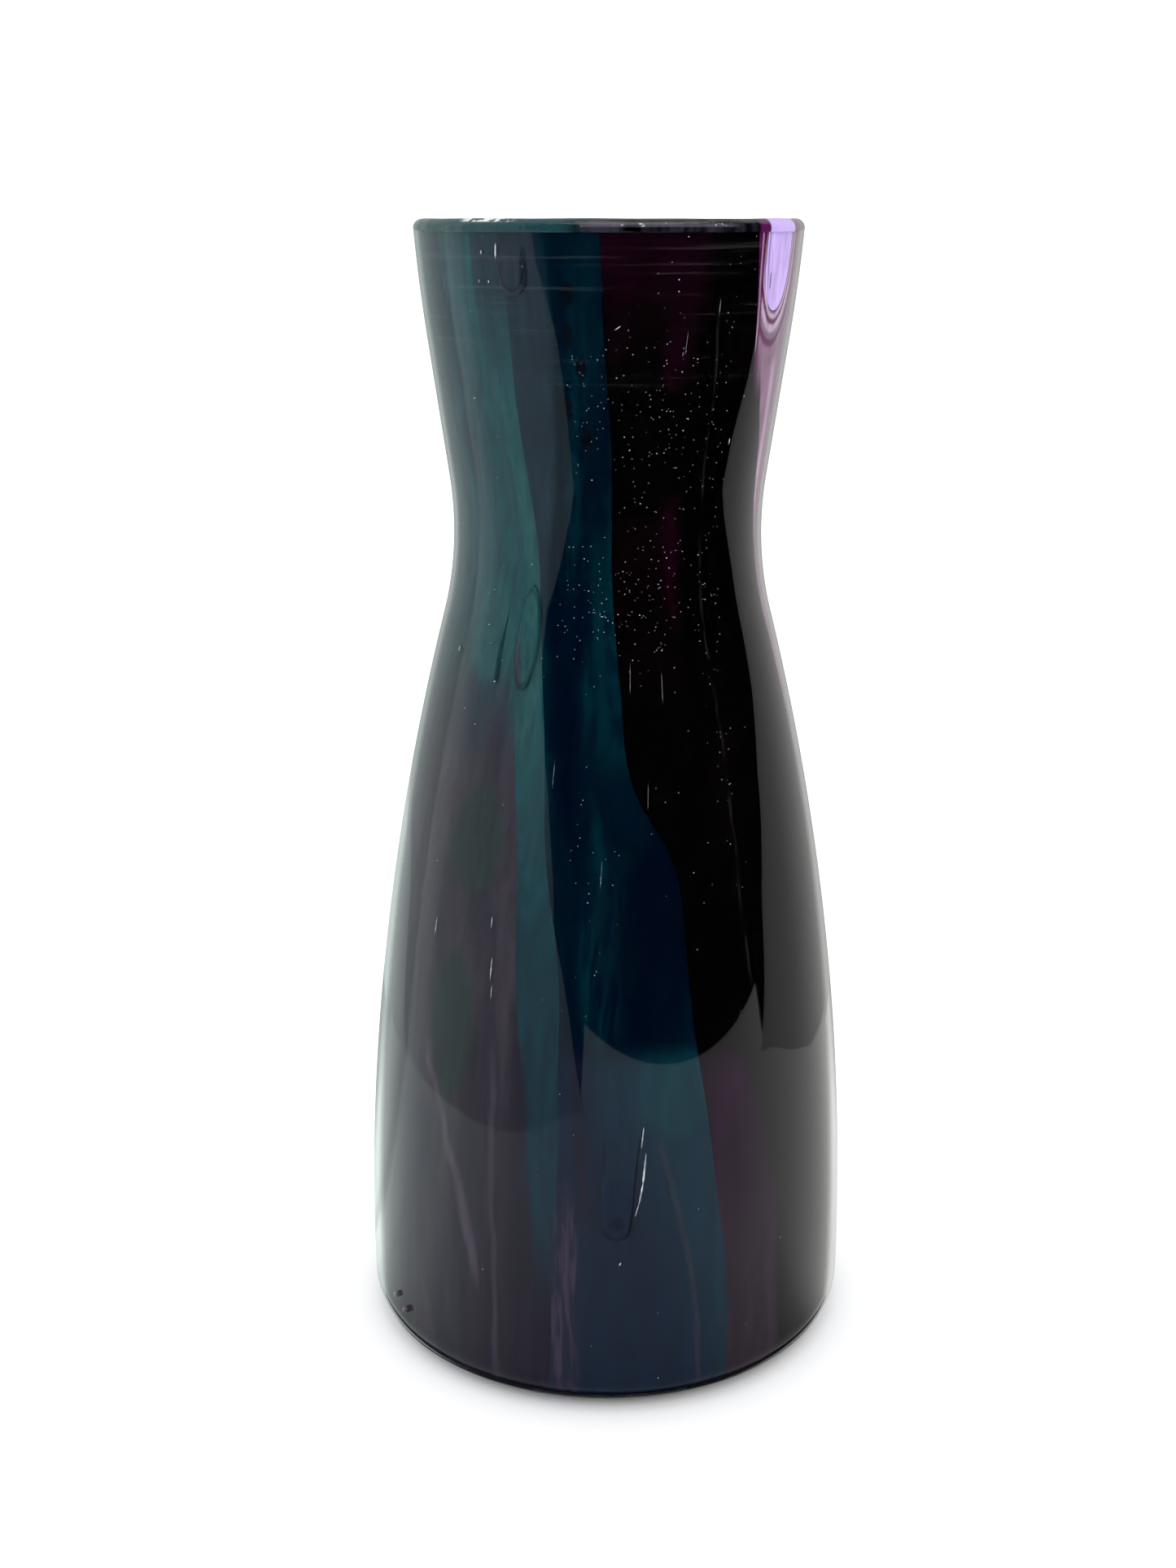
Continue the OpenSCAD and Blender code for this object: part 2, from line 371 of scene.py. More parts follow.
def pour_material(name, paint, edges=None):
    """A poured colour. paint(nodes, azimuth, height, flow, fine) returns its colour socket, and edges(nodes,
    azimuth, height) the share of the thin dark line of painted shade along some drips' edges."""
    n = Nodes(name)
    flow, fine = pour_coordinates(n)
    colour = paint(n, n.azimuth, n.height, flow, fine)
    gloss = GLOSS
    if edges:
        _, n.azimuth, n.height = n.place()
        # Painted shade: a thin dark line along the drip's edge.
        line = edges(n, n.azimuth, n.height)
        colour = n.mix(line, colour, DARK_SPOT_AND_EDGE_SHADE)
        gloss = n.step(line, 0.0, 1.0, GLOSS, LINE_GLOSS)
    bright = n.make("ShaderNodeVectorMath", operation="SCALE")
    n.put(bright.inputs[0], colour)
    n.put(bright.inputs["Scale"], n.step(fine, 0.25, 0.75, 0.8, 1.22))
    rough = n.step(flow, 0.2, 0.8, POLISH, 0.03)
    surface = n.principled(Base_Color=bright.outputs[0], Roughness=rough, Specular_IOR_Level=gloss)
    through = n.make("ShaderNodeBsdfTranslucent")
    through.inputs["Color"].default_value = (*THROUGH, 1.0)
    both = n.make("ShaderNodeAddShader")
    n.put(both.inputs[0], surface)
    n.put(both.inputs[1], through.outputs[0])
    return n.finish(both.outputs[0])


def paint_slate(n, azimuth, height, flow, fine):
    colour = n.ramp(flow, 0.38, 0.62, SLATE_TEAL, SLATE)
    lower = n.ramp(flow, 0.36, 0.64, DUSK, LILAC_GREY)
    edge = n.add(height, n.sway(flow, 50.0))
    colour = n.ramp(edge, 138.0, 172.0, lower, colour)
    colour = n.dab(colour, SEA_BAND, 0.7, -43.0, 168.0, 12.0, 12.0)
    colour = n.dab(colour, OLIVE, 0.8, -37.0, 125.0, 10.0, 13.0)
    colour = n.dab(colour, OLIVE, 0.8, -40.0, 84.0, 8.0, 19.0)
    colour = n.dab(colour, DUSK_DARK, 0.6, -30.0, 40.0, 8.0, 55.0)
    line = [(0, -29), (45, -34.5), (58, -39), (68, -43), (74, -47)]
    colour = n.lay(colour, WISP, n.stripe(line, 0.3, 1.6, 32.0, 73.0), 0.6)
    line = [(0, -26), (60, -27), (90, -29)]
    colour = n.lay(colour, WISP, n.stripe(line, 0.2, 0.9, 10.0, 70.0, 20.0), 0.35)
    left = [(0, -25), (70, -24), (100, -26)]
    shade = n.between(left, [(0, -10), (100, -20)], 4.0, -20, 80.0, 20)
    colour = n.lay(colour, DUSK_DARK, shade, 0.85)
    line = [(0, -16), (110, -25), (150, -31), (180, -39), (215, -44), (250, -46)]
    green = n.times(n.side_of(line, 9.0), n.step(height, 140.0, 160.0))
    return n.mix(green, colour, GREEN_TEAL)


def paint_green(n, azimuth, height, flow, fine):
    colour = n.ramp(flow, 0.42, 0.6, GREEN_TEAL, SLATE_TEAL)
    line = [(140, -25), (170, -26), (190, -30), (215, -35), (232, -37)]
    glow = n.stripe(line, 1.5, 3.5, 150, 212)
    colour = n.mix(n.times(glow, n.step(fine, 0.35, 0.6, 0.4, 1.0)), colour, SEA_GREEN)
    colour = n.ramp(height, 222.0, 240.0, colour, SLATE)
    middle = n.ramp(flow, 0.4, 0.6, (0.002, 0.018, 0.027), (0.001, 0.012, 0.021))
    colour = n.mix(n.fall(height, 96.0, 150.0), colour, middle)
    colour = n.mix(n.fall(height, 45.0, 88.0), colour, TEAL_SLATE)
    violet = n.ramp(flow, 0.45, 0.55, DUSK_DARK, VIOLET_LINE)
    colour = n.mix(n.fall(height, 18.0, 52.0), colour, violet)
    left = n.stripe([(0, -16.5), (60, -19.5), (100, -23)], 0.4, 2.0, 0.0, 78.0)
    return n.lay(colour, DUSK_DARK, left, 0.8)


# The crusts' own dark grey, with lighter grey flecks that are painted highlight.
def paint_crust(n, azimuth, height, flow, fine):
    return n.ramp(fine, 0.4, 0.6, (0.045, 0.04, 0.045), (0.12, 0.11, 0.12))


def paint_neck(n, azimuth, height, flow, fine):
    return n.ramp(flow, 0.4, 0.6, SLATE, (0.009, 0.014, 0.022))


def paint_loop(n, azimuth, height, flow, fine):
    colour = paint_green(n, azimuth, height, flow, fine)
    left = n.fall(n.add(azimuth, n.times(n.add(height, -160.0), 0.25)), -31.0, -27.5)
    return n.mix(n.times(left, n.step(height, 160.0, 172.0, 0.8, 0.2)), colour, LILAC_GREY)


def paint_navy(n, azimuth, height, flow, fine):
    colour = n.ramp(flow, 0.4, 0.6, TEAL_NAVY, TEAL_DEEP)
    colour = n.lay(colour, NAVY, n.step(fine, 0.45, 0.62), 0.7)
    slate_edge = [(150, -24), (180, -22.5), (200, -19), (220, -18), (250, -22)]
    slate = n.ramp(flow, 0.4, 0.6, SLATE, (0.006, 0.012, 0.021))
    colour = n.mix(n.math("SUBTRACT", 1.0, n.side_of(slate_edge, 5.0)), colour, slate)
    left = [(80, -10), (120, -14), (180, -23)]
    right = [(80, -3), (130, -9), (165, -8), (190, -14)]
    deep = n.between(left, right, 4.0, 84.0, 172.0, 12.0)
    colour = n.lay(colour, NAVY, deep, 0.85)
    colour = n.mix(n.patch(-12.5, 112.0, 4.0, 20.0), colour, TEAL_NAVY)
    streak = n.stripe([(140, 0), (170, -3), (200, -5)], 0.5, 2.5, 150.0, 184.0)
    colour = n.lay(colour, TEAL_DEEP, streak, 0.8)
    for spot in ((-11.5, 236.0), (-12.5, 228.0), (-8.0, 222.0), (-13.0, 214.0), (-6.0, 208.0)):
        colour = n.dab(colour, DARK_SPOT_AND_EDGE_SHADE, 0.9, *spot, 1.9, 2.6)
    left = [(80, -6), (110, 3), (130, -2), (150, -8)]
    navy = n.between(left, [(80, 30), (190, 30)], 3.0, 80, 138.0)
    colour = n.lay(colour, NAVY, navy, 0.75)
    smudge = n.ramp(fine, 0.4, 0.65, (0.0006, 0.0075, 0.013), NAVY)
    colour = n.dab(colour, smudge, 0.8, 2.0, 106.0, 7.0, 22.0)
    lift = n.add(azimuth, n.times(n.add(height, -75.0), 0.37))
    front = n.ramp(n.add(lift, n.sway(flow, 14.0)), -6.0, 8.0, BLUE_SLATE, TEAL_SLATE)
    front = n.dab(front, TEAL, 0.8, 17.0, 76.0, 9.0, 13.0)
    left, right = [(0, 4), (30, 8), (62, 12)], [(0, 22), (30, 20), (62, 13)]
    arch = n.between(left, right, 1.6, -20.0, 60.0)
    front = n.lay(front, BLUE_SLATE, arch, 0.5)
    outline = n.stripe([(0, 22.5), (30, 20.5), (62, 13)], 0.2, 0.9, -20.0, 60.0)
    front = n.lay(front, LILAC_GREY, outline, 0.4)
    right = [(0, -7), (25, -6.5), (55, -8)]
    violet = n.between([(0, -16), (80, -14)], right, 2.0, -20.0, 46.0)
    front = n.mix(n.times(violet, n.step(fine, 0.42, 0.6, 0.25, 1.0)), front, VIOLET_LINE)
    dark = n.stripe([(40, -4), (60, -5.5), (75, -7), (92, -4)], 0.5, 1.8, 50.0, 86.0)
    front = n.lay(front, DUSK_DARK, dark, 0.8)
    colour = n.dab(colour, (0.0001, 0.0009, 0.0048), 0.6, 12.0, 106.0, 11.0, 26.0)
    return n.mix(n.fall(height, 79.0, 86.0), colour, front)


def paint_plum(n, azimuth, height, flow, fine):
    cloud = n.step(n.noise(n.here(), 70.0, 3.0, 0.6), 0.36, 0.64, 0.15, 1.0)
    upper = n.step(n.add(height, n.sway(flow, 24.0)), 218.0, 243.0)
    shade = n.times(n.math("MULTIPLY_ADD", cloud, 0.6, 0.4), n.step(flow, 0.35, 0.6, 0.65, 1.0))
    colour = n.mix(n.times(shade, upper), BLACK, (0.0078, 0.0003, 0.0042))
    middle = n.window(height, 146.0, 176.0, 184.0, 204.0)
    colour = n.lay(colour, PLUM, n.times(cloud, middle), 0.8)
    for spot in ((21.0, 226.0), (24.0, 188.0), (26.0, 178.0)):
        light = n.times(n.patch(*spot, 6.0, 10.0), cloud)
        colour = n.lay(colour, PLUM_LIGHT, light, 0.8)
    wine = n.ramp(flow, 0.4, 0.62, WINE, (0.006, 0.0006, 0.007))
    foot = n.ramp(flow, 0.4, 0.62, MAUVE_DARK, (0.0095, 0.0045, 0.0105))
    lower = n.mix(n.fall(height, 30.0, 62.0), wine, foot)
    colour = n.mix(n.fall(height, 76.0, 84.0), colour, lower)
    ridge = n.side_of([(0, 43), (45, 42), (80, 34), (110, 25), (250, 30)], 5.0)
    return n.lay(colour, BLACK, ridge, 0.8)


def paint_ink(n, azimuth, height, flow, fine):
    colour = n.lay(BLACK, PLUM, n.step(flow, 0.5, 0.75), 0.5)
    line = [(90, 40), (110, 37.5), (150, 36), (200, 35.5), (250, 34)]
    seam = n.stripe(line, 0.1, 0.6, 100.0, 240.0)
    return n.mix(n.times(seam, n.step(fine, 0.42, 0.62, 0.05, 0.6)), colour, (0.009, 0.01, 0.013))


def paint_ink_back(n, azimuth, height, flow, fine):
    colour = n.ramp(flow, 0.44, 0.62, BLACK, (0.002, 0.006, 0.011))
    line = [(0, 170), (110, 174), (180, 168), (250, 176)]
    run = n.stripe(line, 2.0, 6.0, 60.0, 250.0, 40.0)
    n.azimuth = n.math("WRAP", azimuth, 360.0, 0.0)
    edge = n.stripe([(0, 196), (120, 190), (250, 200)], 2.0, 5.0)
    colour = n.lay(colour, TEAL_DEEP, run, 0.7)
    return n.lay(colour, DUSK, edge, 0.6)


def round_tongue(n, azimuth, height):
    """How far out from the lavender tongue, where 1 is its edge."""
    across = n.times(n.add(azimuth, -TONGUE_AZ), 1.0 / TONGUE_HALF)
    drop = n.math("MAXIMUM", n.math("SUBTRACT", TONGUE_BEND_Z, height), 0.0)
    down = n.times(drop, 1.0 / (TONGUE_BEND_Z - TONGUE_TIP_Z))
    return n.length(across, down)


def paint_tongue_rings(n, azimuth, height, fine):
    """The rings of pink, mauve and magenta round the tongue and down from its tip, and how far past them."""
    away = n.add(round_tongue(n, azimuth, height), n.sway(fine, 0.08))
    colour = n.ramp(away, 1.0, 1.1, MAGENTA, PALE_PINK)
    for low, high, shade in ((1.12, 1.2, MAGENTA), (1.24, 1.32, PALE_PINK), (1.38, 1.5, MAUVE),
                             (1.56, 1.62, MAGENTA), (1.68, 1.8, PINK), (1.9, 2.0, MAUVE)):
        colour = n.ramp(away, low, high, colour, shade)
    return colour, n.step(away, 1.9, 2.4)


def paint_magenta(n, azimuth, height, flow, fine):
    band = n.ramp(fine, 0.45, 0.7, MAGENTA, (0.03, 0.002, 0.024))
    thread = n.stripe([(215, 52), (235, 50.2), (250, 49.4)], 0.1, 0.5, 222.0, 250.0)
    band = n.lay(band, PALE_PINK, thread, 0.7)
    rings, _ = paint_tongue_rings(n, azimuth, height, fine)
    near = n.side_of([(200, 61), (220, 54.5), (232, 51.5), (250, 51.8)], 1.2)
    colour = n.mix(near, band, rings)
    line = [(0, 86), (60, 84), (120, 78), (165, 74), (185, 71), (200, 66), (212, 60.5), (226, 54)]
    lower = n.mix(n.side_of(line, 1.2), BLACK, PINK)
    return n.mix(n.fall(height, 214.0, 224.0), colour, lower)


def paint_rose(n, azimuth, height, flow, fine):
    rings, past = paint_tongue_rings(n, azimuth, height, fine)
    streaks = n.ramp(flow, 0.42, 0.58, PINK, MAUVE)
    line = [(100, 79), (150, 74), (190, 69), (225, 66)]
    pale = n.stripe(line, 0.8, 2.0, 140.0, 214.0, 14.0)
    streaks = n.lay(streaks, PALE_PINK, pale, 0.8)
    colour = n.mix(past, rings, streaks)
    back = n.side_of([(0, 90), (160, 84), (250, 82)], 12.0)
    colour = n.lay(colour, MAUVE, back, 0.75)
    line = [(0, 86), (120, 80), (165, 74.5), (185, 71.5), (200, 66.5), (212, 60.5), (230, 50)]
    colour = n.mix(n.side_of(line, 1.4), BLACK, colour)
    fall = n.add(height, n.sway(flow, 60.0))
    return n.mix(n.fall(fall, 96.0, 150.0), colour, (0.004, 0.002, 0.006))


def paint_lavender(n, azimuth, height, flow, fine):
    colour = n.lay(LAVENDER, (0.36, 0.26, 0.6), n.step(flow, 0.45, 0.75), 0.5)
    thread = n.stripe([(228, 56), (240, 53.4), (250, 52.6)], 0.05, 0.35, 233.0, 250.0, 3.0)
    colour = n.lay(colour, MAGENTA, thread, 0.6)
    dash = n.stripe([(225, 55), (245, 55.2)], 0.1, 0.45, 237.0, 239.0, 1.0)
    return n.lay(colour, (0.01, 0.004, 0.02), dash, 0.9)


def paint_violet(n, azimuth, height, flow, fine):
    colour = n.ramp(flow, 0.42, 0.6, VIOLET, LILAC)
    line = [(0, 118), (90, 121), (170, 116), (250, 124)]
    run = n.stripe(line, 3.0, 7.0, 90.0, 260.0, 60.0)
    colour = n.lay(colour, MAUVE, run, 0.7)
    dark = n.stripe([(0, 136), (120, 140), (250, 134)], 2.0, 5.0)
    return n.lay(colour, BLACK, dark, 0.8)


# -------------------- meshes
SHARP_EDGE = math.radians(55)


def add_piece(name, verts, faces, material, slot, *nodes):
    """A mesh that rides on root, with the CAD nodes that it replaces."""
    mesh = bpy.data.meshes.new(name)
    mesh.from_pydata([tuple(v) for v in verts], [], faces)
    mesh.update()
    fixed = bmesh.new()
    fixed.from_mesh(mesh)
    bmesh.ops.recalc_face_normals(fixed, faces=fixed.faces)
    fixed.to_mesh(mesh)
    fixed.free()
    mesh.shade_smooth()
    mesh.set_sharp_from_angle(angle=SHARP_EDGE)
    piece = bpy.data.objects.new(name, mesh)
    piece.data.materials.append(material)
    bpy.context.scene.collection.objects.link(piece)
    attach(piece, "root")
    if nodes:
        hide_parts(*nodes)


def grid_faces(rows, columns, start=0, closed=False, flip=False):
    """Quads over a grid of points stored row by row."""
    faces = []
    for i in range(rows - 1):
        for j in range(columns if closed else columns - 1):
            a, b = start + i * columns + j, start + i * columns + (j + 1) % columns
            quad = (a, b, b + columns, a + columns)
            faces.append(quad[::-1] if flip else quad)
    return faces


def slab(outer, inner):
    """A closed solid between two open grids of points of the same size."""
    rows, columns = outer.shape[:2]
    verts = np.concatenate([outer.reshape(-1, 3), inner.reshape(-1, 3)])
    far = rows * columns
    faces = grid_faces(rows, columns) + grid_faces(rows, columns, far, flip=True)
    ring = list(range(columns))
    ring += [i * columns + columns - 1 for i in range(1, rows)]
    ring += [(rows - 1) * columns + j for j in range(columns - 2, -1, -1)]
    ring += [i * columns for i in range(rows - 2, 0, -1)]
    for a, b in zip(ring, ring[1:] + ring[:1]):
        faces.append((b, a, a + far, b + far))
    return verts, faces


def turned(section, steps=360):
    """A solid of revolution from a closed [radius, height] section in millimetres."""
    turn = np.radians(np.arange(steps) * 360.0 / steps)
    r, z = section[:, 0][:, None], section[:, 1][:, None]
    points = np.stack([r * np.sin(turn), -r * np.cos(turn), z + 0 * turn], -1) * MM
    count = len(section)
    faces = []
    for i in range(count):
        k = (i + 1) % count
        for j in range(steps):
            m = (j + 1) % steps
            faces.append((i * steps + j, i * steps + m, k * steps + m, k * steps + j))
    return points.reshape(-1, 3), faces


# How far inwards the outside wanders, in millimetres, and the most that its four waves add up to.
WAVE_T, WAVE_SUM = 0.16, 2.35


def wobble(azimuth, z):
    """The slow unevenness of blown glass, from 0 to -WAVE_T."""
    turn = np.radians(azimuth)
    wave = (np.sin(2 * turn + z / 41) + np.sin(3 * turn - z / 27 + 1.3) * 0.7
            + np.sin(5 * turn + z / 19 + 0.4) * 0.35 + np.sin(z / 13 + 2.1 * np.sin(turn)) * 0.3)
    return (wave / WAVE_SUM - 1.0) / 2 * WAVE_T


# The heights of the rows of points, closer together round the heel.
HEIGHTS = np.unique(np.concatenate([
    OUTER[(OUTER[:, 1] > FOOT_H) & (OUTER[:, 1] < heel_c[1]), 1],
    np.linspace(heel_c[1], RIM_Z, 170), [FOOT_H]]))
ALL_ROUND = np.arange(0, 360, 1.0)


def edge_azimuth(edge, z):
    """The azimuth of a meeting line at height z: smooth through its points, with a small sway."""
    heights, turns = np.array(edge, float).T
    slopes = np.gradient(turns, heights)
    k = np.clip(np.searchsorted(heights, z) - 1, 0, len(heights) - 2)
    span = heights[k + 1] - heights[k]
    t = (z - heights[k]) / span
    smooth = ((2 * t**3 - 3 * t**2 + 1) * turns[k] + (t**3 - 2 * t**2 + t) * span * slopes[k]
              + (-2 * t**3 + 3 * t**2) * turns[k + 1] + (t**3 - t**2) * span * slopes[k + 1])
    seed = turns[0]
    return smooth + 0.35 * np.sin(z / 7.0 + seed) + 0.5 * np.sin(z / 17.0 + 2 * seed)


def painted(paint):
    """The pour of a paint function, named after it."""
    return pour_material(paint.__name__.replace("paint_", "") + "_pour", paint)


def field(name, left, right, paint, slot, turns=0.0, columns=40):
    """One poured colour, from the line where it meets its left neighbour to the line on its right."""
    z = HEIGHTS[:, None]
    start, end = edge_azimuth(left, z) + turns, edge_azimuth(right, z)
    share = np.linspace(0, 1, columns)[None, :]
    az = start + (end - start) * share
    rows = np.broadcast_to(z, az.shape)
    lift = wobble(az, rows)
    verts, faces = slab(on_wall(az, rows, lift - CASING_T), on_wall(az, rows, lift - COAT_T))
    add_piece(name, verts, faces, painted(paint), slot, name)


field("slate_field", INK_SLATE, SLATE_GREEN, paint_slate, "slate_glass", turns=-360.0, columns=110)
field("green_streak", SLATE_GREEN, GREEN_NAVY, paint_green, "green_glass", columns=16)
field("navy_field", GREEN_NAVY, NAVY_PLUM, paint_navy, "navy_glass")
field("plum_field", NAVY_PLUM, PLUM_INK, paint_plum, "plum_glass")
field("ink_field", PLUM_INK, INK_MAGENTA, paint_ink, "ink_glass")
field("magenta_band", INK_MAGENTA, MAGENTA_ROSE, paint_magenta, "magenta_glass", columns=10)
field("rose_field", MAGENTA_ROSE, ROSE_VIOLET, paint_rose, "rose_glass")
field("violet_back", ROSE_VIOLET, VIOLET_INK, paint_violet, "violet_glass", columns=50)
field("ink_back", VIOLET_INK, INK_SLATE, paint_ink_back, "ink_glass", columns=60)


# -------------------- lavender tongue
def tongue():
    rows, columns = 60, 30
    z = np.linspace(TONGUE_TIP_Z, RIM_Z, rows)[:, None]
    rise = np.minimum((z - TONGUE_TIP_Z) / (TONGUE_BEND_Z - TONGUE_TIP_Z), 1)
    half = TONGUE_HALF * np.sqrt(np.clip(1 - (1 - rise) ** 2, 0.0004, 1))
    across = np.linspace(-1, 1, columns)[None, :]
    az = TONGUE_AZ + half * across
    rows_z = np.broadcast_to(z, az.shape)
    lift = wobble(az, rows_z) - CASING_T
    return slab(on_wall(az, rows_z, lift + 0.03), on_wall(az, rows_z, lift - COLOUR_T))


add_piece("lavender_pour", *tongue(), painted(paint_lavender), "lavender_glass", "lavender_pour")


# -------------------- blown body
def body_section():
    kick_arc = (KICK_R**2 + KICK_DEPTH**2) / (2 * KICK_DEPTH)
    kick_c = np.array([0.0, KICK_DEPTH - kick_arc])
    fillet_r = BELLY_Z - BASE_T
    fillet_c = np.array([BODY_R - TOTAL_T - fillet_r, BELLY_Z])
    inner = outline(TOTAL_T, low=TOTAL_T + 0.01)
    inner = inner[inner[:, 1] > BELLY_Z + 0.5]
    axis_r = 0.02
    return np.concatenate([
        arc(kick_c, kick_arc, math.pi / 2 - axis_r / kick_arc, height_dir(kick_c, kick_arc, 0), 40),
        arc(heel_c, HEEL_R, -math.pi / 2, height_dir(heel_c, HEEL_R, FOOT_H), 10),
        outline(COAT_T + 0.05),
        inner[::-1],
        arc(fillet_c, fillet_r, 0, -math.pi / 2, 16),
        [[axis_r, BASE_T]]])


def body_material():
    n = Nodes("blown_glass")
    here, _, height = n.place()
    draw = n.noise(n.stretch(here, 1.0, 1.0, 0.08), 70.0, 3.0, 0.5)
    colour = n.ramp(draw, 0.45, 0.75, (0.004, 0.004, 0.007), (0.012, 0.008, 0.022))
    ground = n.step(height, 0.2, 1.4, 0.35, 0.06)
    relief = n.bump(draw, 0.2, 0.0003)
    return n.finish(n.principled(Base_Color=colour, Roughness=ground, Normal=relief, IOR=1.5))


add_piece("glass_body", *turned(body_section()), body_material(), "body_glass", "glass_body")


# -------------------- clear casing
def casing_material():
    n = Nodes("clear_casing_glass")
    here, _, height = n.place()
    scratch = n.noise(n.stretch(here, 1.0, 1.0, 60.0), 22.0, 2.0, 0.6, 0.2)
    area = n.window(height, 205.0, 232.0, 244.0, 248.0)
    marks = n.times(n.step(scratch, 0.56, 0.7), area)
    clear = n.make("ShaderNodeBsdfTransparent").outputs[0]
    gloss = n.make("ShaderNodeBsdfGlossy")
    gloss.inputs["Roughness"].default_value = POLISH
    facing = n.make("ShaderNodeLayerWeight").outputs["Facing"]
    mirror = n.math("MULTIPLY_ADD", n.math("POWER", facing, 5.0), 0.1, 0.008)
    mirror = n.add(mirror, n.step(facing, 0.73, 0.84, 0.0, 0.87))
    dull = n.make("ShaderNodeBsdfDiffuse")
    dull.inputs["Color"].default_value = (0.5, 0.5, 0.55, 1.0)
    glass = n.blend(mirror, clear, gloss.outputs[0])
    return n.finish(n.blend(n.times(marks, 0.022), glass, dull.outputs[0]))


def casing():
    az, z = np.meshgrid(ALL_ROUND, HEIGHTS)
    lift = wobble(az, z)
    outer, inner = on_wall(az, z, lift), on_wall(az, z, lift - CASING_T - 0.06)
    rows, columns = az.shape
    far = rows * columns
    faces = grid_faces(rows, columns, closed=True) + grid_faces(rows, columns, far, closed=True, flip=True)
    for j in range(columns):
        k = (j + 1) % columns
        faces.append((k, j, far + j, far + k))
        top = (rows - 1) * columns
        faces.append((top + j, top + k, far + top + k, far + top + j))
    return np.concatenate([outer.reshape(-1, 3), inner.reshape(-1, 3)]), faces


add_piece("clear_casing", *casing(), casing_material(), "clear_glass", "clear_casing")


# -------------------- rim bead
def rim_material():
    n = Nodes("rim_glass")
    here, azimuth, height = n.place()
    flow = n.noise(n.stretch(here, 1.0, 1.0, 0.2), 160.0, 3.0, 0.6)
    left = n.ramp(flow, 0.4, 0.6, SLATE_TEAL, (0.012, 0.04, 0.036))
    middle = n.ramp(flow, 0.4, 0.65, BLACK, (0.02, 0.02, 0.03))
    colour = n.ramp(azimuth, -14.0, -6.0, left, middle)
    colour = n.ramp(azimuth, 46.0, 47.5, colour, MAGENTA)
    colour = n.ramp(azimuth, 51.0, 52.0, colour, LAVENDER)
    colour = n.ramp(azimuth, 66.0, 67.0, colour, MAUVE)
    colour = n.ramp(azimuth, 106.0, 110.0, colour, VIOLET)
    colour = n.mix(n.fall(azimuth, -150.0, -140.0), colour, BLACK)
    # Painted highlights: grey flecks along the top of the bead at the front, and white glare on its top at
    # the left.
    glint_speckle = n.noise(n.stretch(here, 1.0, 1.0, 2.5), 520.0, 2.0, 0.6)
    above = n.add(height, -RIM_Z)
    band = n.window(above, 0.15, 0.5, 0.8, 1.2)
    front = n.window(azimuth, -9.0, -5.0, 34.0, 40.0)
    painted_glint = n.ramp(glint_speckle, 0.62, 0.72, (0.06, 0.057, 0.075), (0.5, 0.5, 0.52))
    colour = n.mix(n.times(n.times(band, front), n.step(flow, 0.3, 0.55, 0.4, 0.9)), colour, painted_glint)
    top = n.window(azimuth, -48.0, -43.0, -31.0, -26.0)
    glare = n.times(n.times(top, n.step(above, 1.1, 1.5)), n.step(glint_speckle, 0.4, 0.55))
    colour = n.mix(glare, colour, (0.6, 0.62, 0.62))
    lumps = n.noise(n.stretch(here, 1.0, 1.0, 0.6), 260.0, 2.0, 0.5)
    relief = n.bump(lumps, 0.5, 0.0006)
    return n.finish(n.principled(Base_Color=colour, Roughness=0.08, Normal=relief, IOR=1.5))


def rim():
    section = arc(np.array([0.0, 0.0]), BEAD_R + 0.02, -0.35, math.pi + 0.35, 30)
    centre_r = np.interp(RIM_Z, OUTER[:, 1], OUTER[:, 0]) - BEAD_R
    turn = np.radians(ALL_ROUND)
    drop = 0.10 * (1 + np.sin(3 * turn + 1) * 0.5 + np.sin(11 * turn) * 0.3)
    rows = []
    for r, h in section:
        radius = centre_r + r + wobble(ALL_ROUND, 250.0)
        height = RIM_Z + h * 0.97 - drop * max(h, 0) / BEAD_R
        rows.append(np.stack([radius * np.sin(turn), -radius * np.cos(turn), height], -1) * MM)
    points = np.array(rows)
    count, columns = points.shape[:2]
    faces = grid_faces(count, columns, closed=True)
    for j in range(columns):
        k = (j + 1) % columns
        last = (count - 1) * columns
        faces.append((k, j, last + j, last + k))
    return points.reshape(-1, 3), faces


add_piece("rim_bead", *rim(), rim_material(), "rim_glass", "rim_bead")


# -------------------- drips
def loop_edge_shade(n, azimuth, height):
    """Thin dark lines of painted shade round the loop drip and inside it."""
    middle = n.math("MULTIPLY_ADD", height, 0.045, -34.8)
    across = n.times(n.math("SUBTRACT", azimuth, middle), 1.0 / 4.1)
    up = n.times(n.add(height, -167.4), 1.0 / 10.4)
    away = n.length(across, up)
    outer = n.window(away, 0.84, 0.92, 0.95, 1.02)
    inner = n.window(away, 0.5, 0.56, 0.58, 0.68)
    return n.add(n.times(outer, 0.4), n.times(inner, 0.15))


def neck_edge_shade(n, azimuth, height):
    """A dark line of painted shade round the tip of the neck drip and up its left side."""
    across = n.times(n.add(azimuth, 28.0), 1.0 / 3.9)
    down = n.times(n.math("MINIMUM", n.add(height, -240.5), 0.0), 1.0 / 4.2)
    line = n.window(n.length(across, down), 0.8, 0.92, 0.96, 1.06)
    return n.times(n.times(line, n.fall(height, 240.0, 245.0)), 0.4)


